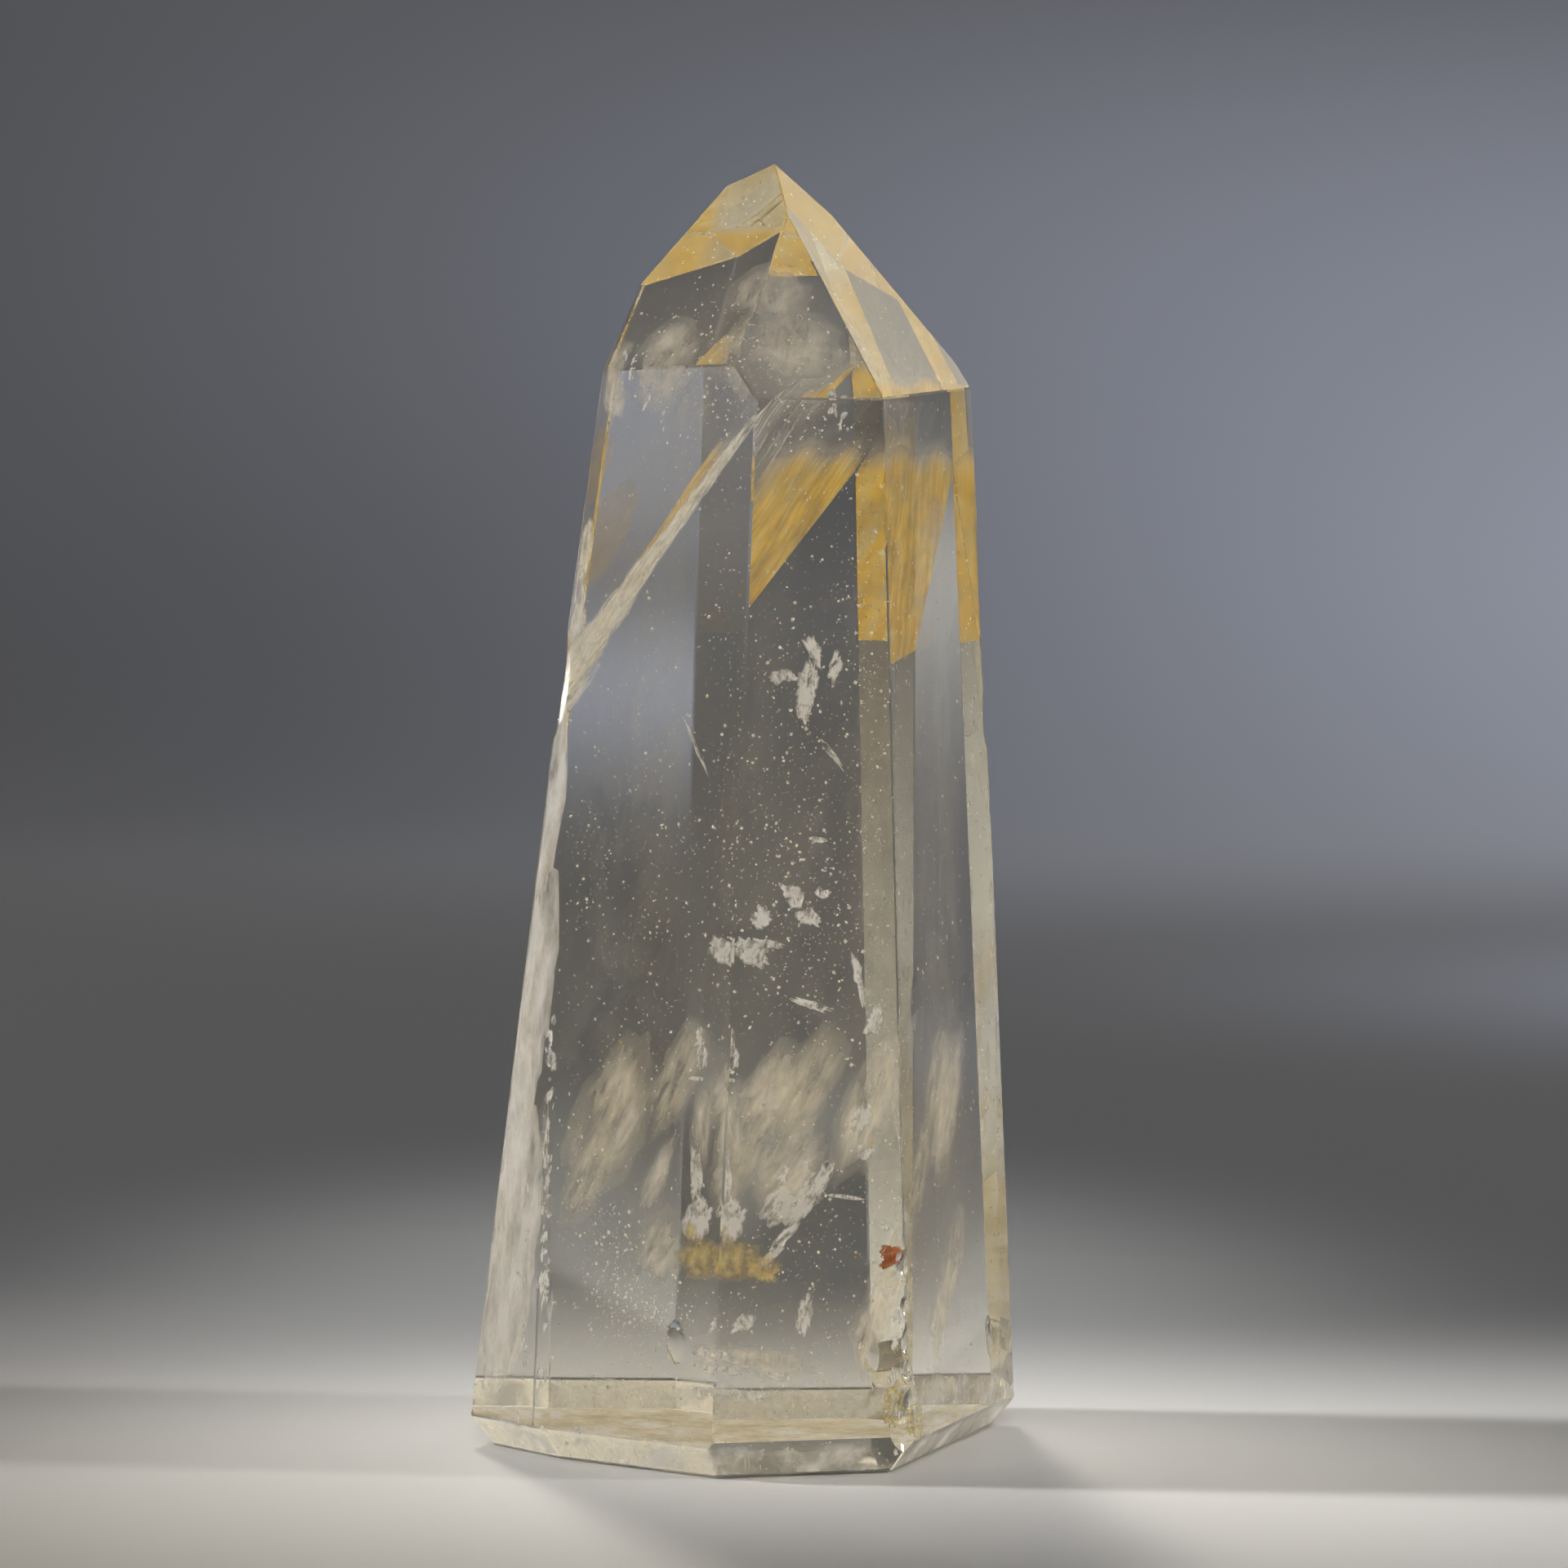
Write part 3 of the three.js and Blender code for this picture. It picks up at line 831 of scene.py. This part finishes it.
def along_edge(start, end, count, smallest, largest, azimuth):
    """Rows for flakes strung at random between two points, with random sizes, leans and facings."""
    share = rng.uniform(0, 1, count)[:, None]
    middles = np.array(start) + share * (np.array(end) - np.array(start))
    middles = middles + rng.normal(0, KNOCK_SCATTER, (count, 3))
    sizes = rng.uniform(smallest, largest, (count, 2)) * np.array(KNOCK_SHAPE)
    leans = rng.normal(*KNOCK_LEAN, count)
    facings = rng.normal(azimuth, KNOCK_FACING, count)
    rows = list(zip(middles, sizes, leans, facings))
    return [row for row in rows if depth(row[0][None])[0] > KNOCK_SKIN]


# Each row: start and end in mm, how many, smallest and largest in mm, and azimuth in degrees.
EDGES = [
    ((-10.2, -6.0, 3.0), (-9.7, -4.9, 22.0), 60, 0.25, 0.9, -45),       # up the front left edge
    ((-11.2, -4.6, 4.0), (-10.6, -3.6, 14.0), 14, 0.3, 0.8, -50),       # just behind it
    ((7.3, -11.4, 2.0), (7.4, -11.0, 12.0), 16, 0.3, 0.8, 40),          # up the front right edge
    ((11.6, 3.6, 35.5), (11.6, 3.6, 38.5), 5, 0.5, 1.1, 60),            # a knock on the far right
    ((-8.4, -4.4, 40.4), (-7.6, -4.0, 43.0), 8, 0.8, 1.6, -30),         # where the crack comes out
    ((-11.6, -3.6, 1.2), (0.0, -12.8, 1.2), 10, 0.3, 0.9, -20),         # round the base
    ((0.0, -12.8, 1.2), (8.0, -11.6, 1.2), 7, 0.3, 0.9, 15),
    ((-5.6, -3.0, 55.6), (-3.0, -5.2, 52.4), 7, 0.3, 0.8, -20),         # below the point
    ((3.0, -6.6, 54.0), (5.4, -7.4, 52.0), 8, 0.3, 0.8, 15),
]
knocks = [row for edge in EDGES for row in along_edge(*edge)]
placed("worn_edges", knocks, SILVER, "healed_fracture", corners=5, jagged=0.8)

# %% [markdown]
# ## Iron stains
# Water left iron oxide on a few flakes and in the broken corner: golden where it is thin, rust red
# where it is thick. Paint on the faces would stay on the outside, but these stains lie within, so
# they are flakes with their own colours.

# %% Iron films
# Limonite, a thin yellow iron oxide: golden, and light comes through it.
GOLD = flake_film(
    "golden_stain", "#d0a034", "#f6e6a4", 0.2, 0.66,
    grain=0.7, streak=1.6, most=0.9, rim_fade=(0.28, 0.6),
)
# Thick rust: dull red brown, and nearly solid.
RUST = flake_film("rust_spot", "#5e2a0e", "#b5652a", 0.25, 0.5, grain=0.15)
# Limonite with clay in a broken corner: an olive yellow.
OLIVE = flake_film("olive_stain", "#a08a34", "#e8d98c", 0.34, 0.6, grain=0.5)
# The faintest stain: a warm breath under the upper left face.
WARM = flake_film("warm_tinge", "#c8a347", "#ecd17c", 0.2, 0.8, grain=2.5, streak=2, most=0.4)
print("iron films:", GOLD.name, RUST.name, OLIVE.name, WARM.name)

# %% Golden plate, rust spot, tinge and stained corner
placed("golden_plate", [
    ((-1.0, -9.2, 10.4), (3.6, 3.0), 6, -14),
    ((0.6, -9.1, 9.9), (2.8, 2.0), 14, 5),
    ((-1.6, -9.0, 11.8), (1.0, 1.6), 0, -15),
], GOLD, "iron_stain", corners=10, jagged=0.6)
placed("rust_spot", [
    ((7.3, -11.2, 11.0), (1.7, 1.7), 30, 14),
    ((7.0, -11.2, 10.5), (1.6, 0.8), -30, 14),
], RUST, "iron_stain", corners=9, jagged=0.7)
placed("warm_tinge", [
    ((-6.9, -5.0, 47.0), (3.4, 8.0), 36, -41),
    ((-7.4, -4.2, 50.5), (2.4, 5.0), 24, -41),
], WARM, "iron_stain", corners=8, jagged=0.3)
placed("stained_corner", [
    ((7.4, -11.0, 3.2), (1.8, 3.0), 10, 40),
    ((8.3, -10.0, 2.6), (1.6, 2.4), -14, 60),
], OLIVE, "iron_stain", corners=7, jagged=0.5)


# %% [markdown]
# ## The ground base
# The base was sawn and ground flat but never polished, so it is frosted: seen down through the
# clear crystal it is the bright beige floor of the piece. Frosting the glass itself would blur the
# way light leaves it, so the frost is a thin film just above the base. It is a polar grid whose
# spokes end just inside the ground faces.

# %% Frosted base
BASE_RINGS = 30
BASE_SPOKES = 180
BASE_FROST_HEIGHT = 0.16                        # mm above the table
BASE_BRUISE = 4.5                               # mm across
BASE_GRIT = 0.55        # mm: the wheel's grit was nearer 0.05, drawn coarser so that it shows


def base_shape(height):
    """Spokes run level from the middle to the ground faces; rings share out each spoke evenly."""
    angle = np.linspace(0, 2 * np.pi, BASE_SPOKES, endpoint=False)
    spokes = np.stack([np.cos(angle), np.sin(angle), np.zeros(BASE_SPOKES)], 1)
    middle = np.array([0.0, 0.0, height])
    _, leave = chord(np.broadcast_to(middle, spokes.shape), spokes)
    share = np.linspace(0, 1, BASE_RINGS)[:, None, None]
    points = middle + share * (leave[:, None] * spokes)
    return points.reshape(-1, 3), grid_faces(BASE_RINGS, BASE_SPOKES, wrap=True)


def base_frost():
    """Quartz, sawn and ground: a fine even scatter that glows pale beige from above, with whiter
    bruises and a little dirt in the pits."""
    material, tree, out = new_material("ground_base")
    place = add(tree, "ShaderNodeTexCoord").outputs["Object"]
    bruises = add(tree, "ShaderNodeTexNoise", {
        "Vector": place, "Scale": 1 / (BASE_BRUISE * MM), "Detail": 4.0, "Roughness": 0.6,
    })
    grit = add(tree, "ShaderNodeTexNoise", {
        "Vector": place, "Scale": 1 / (BASE_GRIT * MM), "Detail": 3.0, "Roughness": 0.7,
    })
    colour = add(tree, "ShaderNodeValToRGB", {"Fac": bruises}, stops=[
        (0.36, "#f0e6cc"), (0.5, "#f9f3e4"), (0.58, "#ffffff"),
    ])
    cover = add(tree, "ShaderNodeValToRGB", {"Fac": bruises}, stops=[(0.35, 0.75), (0.6, 1.0)])
    fine = add(tree, "ShaderNodeValToRGB", {"Fac": grit}, stops=[(0.3, 0.85), (0.6, 1.0)])
    cover = add(tree, "ShaderNodeMath", {0: cover, 1: fine}, operation="MULTIPLY")
    film(tree, out, colour, cover, roughness=0.7, through=0.0)
    return material


base = new_piece("ground_base", *base_shape(BASE_FROST_HEIGHT), base_frost())
sealed_in(base)

# %% [markdown]
# The bevel round the base was ground by hand on the same wheel. It is half polished: light comes
# through, but the wheel's slanting scratches and small bruises catch it, and seen from inside the
# far bevels glow beige. Its skin is a ring of spokes like the base, repeated at several heights.

# %% Scratched bevel
BEVEL_ROWS = 9
BEVEL_COLUMNS = 360
BEVEL_FOOT = 0.2                                # mm above the table
BEVEL_TOP = 1.9
BEVEL_FADES = 1.2                               # mm above the table where its skin starts to thin
RIM_RADIUS = 12.5                               # mm, the rim's average
CHIPPED_CORNER = (8.2, -12.1, 2.0)              # mm: a chip took the skin off round here
CHIPPED_REACH = (1.6, 2.3)                      # mm from there: no skin, then all of it


def bevel_shape():
    """Rows are heights up the bevel and columns are angles round it; each point is where a level
    spoke meets the skin. around is the mm travelled round the rim, out one way and back the other,
    so that the pattern on it closes without a seam."""
    angle = np.linspace(0, 2 * np.pi, BEVEL_COLUMNS, endpoint=False)
    height = np.linspace(BEVEL_FOOT, BEVEL_TOP, BEVEL_ROWS)[:, None]
    spokes = np.stack([np.cos(angle), np.sin(angle), 0 * angle], 1)
    spokes = np.repeat(spokes[None], BEVEL_ROWS, axis=0)
    middles = np.zeros_like(spokes)
    middles[..., 2] = height
    _, leave = chord(middles, spokes)
    points = middles + leave[..., None] * spokes
    values = {
        "around": (np.minimum(angle, 2 * np.pi - angle) * RIM_RADIUS + 0 * height).ravel(),
        "raised": (height + 0 * angle).ravel(),
    }
    return points.reshape(-1, 3), grid_faces(BEVEL_ROWS, BEVEL_COLUMNS, wrap=True), values


BEVEL_SCRATCH = (0.3846, 3.333) # mm apart and long: real ones are finer, and drawn coarser to show
BEVEL_BRUISE = 2.857            # mm across
BEVEL_SLANT = 35                # degrees


def scratched_bevel():
    """Quartz, ground and half polished: light comes through, and slanting scratches and bruises
    catch it white."""
    material, tree, out = new_material("scratched_bevel")
    around = add(tree, "ShaderNodeAttribute", attribute_name="around").outputs["Fac"]
    raised = add(tree, "ShaderNodeAttribute", attribute_name="raised").outputs["Fac"]
    place = add(tree, "ShaderNodeCombineXYZ", {"X": around, "Y": raised})
    slanted = add(tree, "ShaderNodeMapping", {
        "Vector": place, "Rotation": (0.0, 0.0, math.radians(BEVEL_SLANT)),
        "Scale": (1 / BEVEL_SCRATCH[0], 1 / BEVEL_SCRATCH[1], 1.0),
    })
    scratches = add(tree, "ShaderNodeTexNoise", {
        "Vector": slanted, "Scale": 1.0, "Detail": 3.0, "Roughness": 0.6,
    })
    bruises = add(tree, "ShaderNodeTexNoise", {
        "Vector": place, "Scale": 1 / BEVEL_BRUISE, "Detail": 5.0, "Roughness": 0.6,
    })
    scratched = add(tree, "ShaderNodeValToRGB", {"Fac": scratches}, stops=[(0.58, 0.0), (0.68, 0.75)])
    bruised = add(tree, "ShaderNodeValToRGB", {"Fac": bruises}, stops=[
        (0.36, 0.2), (0.5, 0.42), (0.6, 0.95),
    ])
    cover = add(tree, "ShaderNodeMath", {0: scratched, 1: bruised}, operation="MAXIMUM")
    upper = add(tree, "ShaderNodeMapRange", {
        "Value": raised, "From Min": BEVEL_FADES, "From Max": BEVEL_TOP, "To Min": 1.0, "To Max": 0.0,
    })
    cover = add(tree, "ShaderNodeMath", {0: cover, 1: upper}, operation="MULTIPLY")
    position = add(tree, "ShaderNodeTexCoord").outputs["Object"]
    away = add(tree, "ShaderNodeVectorMath", {
        0: position, 1: tuple(length * MM for length in CHIPPED_CORNER),
    }, operation="DISTANCE")
    whole = add(tree, "ShaderNodeMapRange", {
        "Value": away.outputs["Value"],
        "From Min": CHIPPED_REACH[0] * MM, "From Max": CHIPPED_REACH[1] * MM,
    })
    cover = add(tree, "ShaderNodeMath", {0: cover, 1: whole}, operation="MULTIPLY")
    colour = add(tree, "ShaderNodeValToRGB", {"Fac": bruises}, stops=[
        (0.4, "#f6ecd2"), (0.58, "#ffffff"),
    ])
    film(tree, out, colour, cover, roughness=0.5, through=0.5)
    return material


bevel_points, bevel_faces, bevel_values = bevel_shape()
bevel = new_piece("scratched_bevel", bevel_points, bevel_faces, scratched_bevel(), bevel_values)
sealed_in(bevel)


# %% [markdown]
# ## Studio
# The camera stands about a third of a metre in front, a little above the crystal's middle, and
# looks down two degrees. It has a long lens, as for a close product view.

# %% Camera
CAMERA_PLACE = (2.0, -344.5, 47.85)     # mm
CAMERA_DIPS = 2.294                     # degrees below level
CAMERA_LENS = 153.4                     # mm, for a frame 36 mm wide


def camera_at(place, dips, lens):
    """A camera that looks along +Y, dipping by some degrees, without tilt, shift or blur."""
    camera = bpy.data.cameras.new("camera")
    camera.sensor_width = 36
    camera.lens = lens
    camera.clip_start = 0.01
    camera.clip_end = 20
    holder = bpy.data.objects.new("camera", camera)
    holder.location = Vector(place) * MM
    holder.rotation_euler = (math.radians(90 - dips), 0, 0)
    bpy.context.scene.collection.objects.link(holder)
    bpy.context.scene.camera = holder


camera_at(CAMERA_PLACE, CAMERA_DIPS, CAMERA_LENS)
print("camera", round(math.hypot(*CAMERA_PLACE[:2])), "mm from the crystal")

# %% [markdown]
# The floor is pale paper, flat under the crystal and curving up far away all round, so no horizon
# line shows through the facets. It is a surface of revolution: a height for each radius.

# %% Floor that curves up
FLOOR_REACH = 1300.0                    # mm
FLOOR_LEVEL = 650.0                     # mm out to which it is flat
FLOOR_RISE = 190.0                      # mm
FLOOR_GAP = 0.05                        # mm under the base
FLOOR_ROWS = 26
FLOOR_COLUMNS = 192


def paper_floor():
    """Height is 0 out to FLOOR_LEVEL, then an S-shaped rise to the rim, all less FLOOR_GAP. The
    paper is uncoated: an even pale tone with hardly any shine."""
    material, tree, out = new_material("pale_paper")
    surface = add(tree, "ShaderNodeBsdfPrincipled", {"Base Color": linear("#b4b6b8"), "Roughness": 0.6})
    tree.links.new(surface.outputs["BSDF"], out.inputs["Surface"])
    angle = np.linspace(0, 2 * np.pi, FLOOR_COLUMNS, endpoint=False)
    radius = np.concatenate([[0.0], np.linspace(100, FLOOR_REACH, FLOOR_ROWS - 1)])[:, None]
    height = FLOOR_RISE * smooth_step(FLOOR_LEVEL, FLOOR_REACH + 50, radius) - FLOOR_GAP + 0 * angle
    points = np.stack([radius * np.cos(angle), radius * np.sin(angle), height], -1)
    faces = grid_faces(FLOOR_ROWS, FLOOR_COLUMNS, wrap=True)
    return new_piece("floor", points.reshape(-1, 3), faces, material)


paper_floor()

# %% [markdown]
# The air is the soft light: dim and even overhead, with a paler band low down like a strip of
# windows. The band is what the clear base bevels gather, so they glow as they do on a table.

# %% Air and render limits


def soft_air():
    """A background whose colour depends only on height: straight down is 0 and straight up is 1."""
    world = bpy.data.worlds.new("studio_air")
    bpy.context.scene.world = world
    world.use_nodes = True
    tree = world.node_tree
    tree.nodes.clear()
    coords = add(tree, "ShaderNodeTexCoord")
    height = add(tree, "ShaderNodeSeparateXYZ", {"Vector": coords.outputs["Generated"]})
    sky = add(tree, "ShaderNodeValToRGB", {"Fac": height.outputs["Z"]}, stops=[
        (0.0, "#4a4b50"), (0.13, "#4a4b50"), (0.18, "#7d7a75"), (0.25, "#a8a296"), (0.29, "#eae2d0"),
        (0.33, "#eae2d0"), (0.38, "#8a867e"), (0.46, "#3a3b3f"), (0.7, "#595b63"), (1.0, "#64656d"),
    ])
    back = add(tree, "ShaderNodeBackground", {"Color": sky, "Strength": 1.0})
    out = add(tree, "ShaderNodeOutputWorld")
    tree.links.new(back.outputs["Background"], out.inputs["Surface"])


soft_air()
scene = bpy.context.scene
scene.view_settings.view_transform = "Standard"
scene.cycles.max_bounces = 28
scene.cycles.transmission_bounces = 24
scene.cycles.transparent_max_bounces = 40
scene.cycles.glossy_bounces = 12
scene.cycles.diffuse_bounces = 3
print("a light path may bounce", scene.cycles.max_bounces, "times")

# %% [markdown]
# A lamp can't shine through glass onto a flake by the direct route, so each one is a broad disc
# that light paths can find by chance. They stand where no facet mirrors or bends them to the camera.

# %% Lamps


def soft_lamp(name, azimuth, elevation, distance, aim, size, power, spread, tint):
    """A disc lamp that faces its aim. Azimuth 0 is straight behind the crystal and 90 to its right,
    in degrees; distance, aim and size are in mm; spread is its beam's full angle."""
    light = bpy.data.lights.new(name, "AREA")
    light.shape = "DISK"
    light.size = size * MM
    light.energy = power
    light.spread = math.radians(spread)
    light.color = linear(tint)[:3]
    lamp = bpy.data.objects.new(name, light)
    turn, tip = math.radians(azimuth), math.radians(elevation)
    away = Vector((math.sin(turn) * math.cos(tip), math.cos(turn) * math.cos(tip), math.sin(tip)))
    lamp.location = (Vector(aim) + away * distance) * MM
    lamp.rotation_euler = away.to_track_quat("Z", "Y").to_euler()
    bpy.context.scene.collection.objects.link(lamp)


# Each row: name, azimuth, elevation, distance, aim, size, power in watts, spread and tint.
LAMPS = [
    # these five rake the crystal and light what is sealed in it
    ("back_key", -10, 50, 320, (0, 0, 42), 90, 0.010, 10, "#fff6e6"),
    ("top_key", 200, 80, 420, (0, 0, 20), 110, 0.003, 14, "#fffaf0"),
    ("left_key", -82, 19, 320, (0, 0, 44), 90, 0.05, 10, "#fffaf4"),
    ("right_key", 100, 14, 320, (0, 0, 42), 100, 0.028, 10, "#fff8f0"),
    ("front_key", 178, 30, 420, (0, 0, 36), 70, 0.009, 6, "#fffcf6"),
    # these light the floor in broad soft pools, which the facets bend towards the eye
    ("left_floor", 0, 90, 260, (-95, -45, 0), 100, 0.010, 44, "#ffe2a8"),
    ("right_floor", 0, 90, 260, (165, 320, 0), 150, 0.035, 40, "#dde5ff"),
    ("far_right", 0, 90, 500, (230, 640, 0), 200, 0.2, 70, "#e8edff"),
    ("backdrop", 165, 30, 900, (150, 1080, 30), 260, 0.26, 44, "#e4eaff"),
    ("far_left", 0, 90, 400, (-420, 280, 0), 200, 0.25, 70, "#f4f2f0"),
]
for lamp in LAMPS:
    soft_lamp(*lamp)
print(len(LAMPS), "lamps")
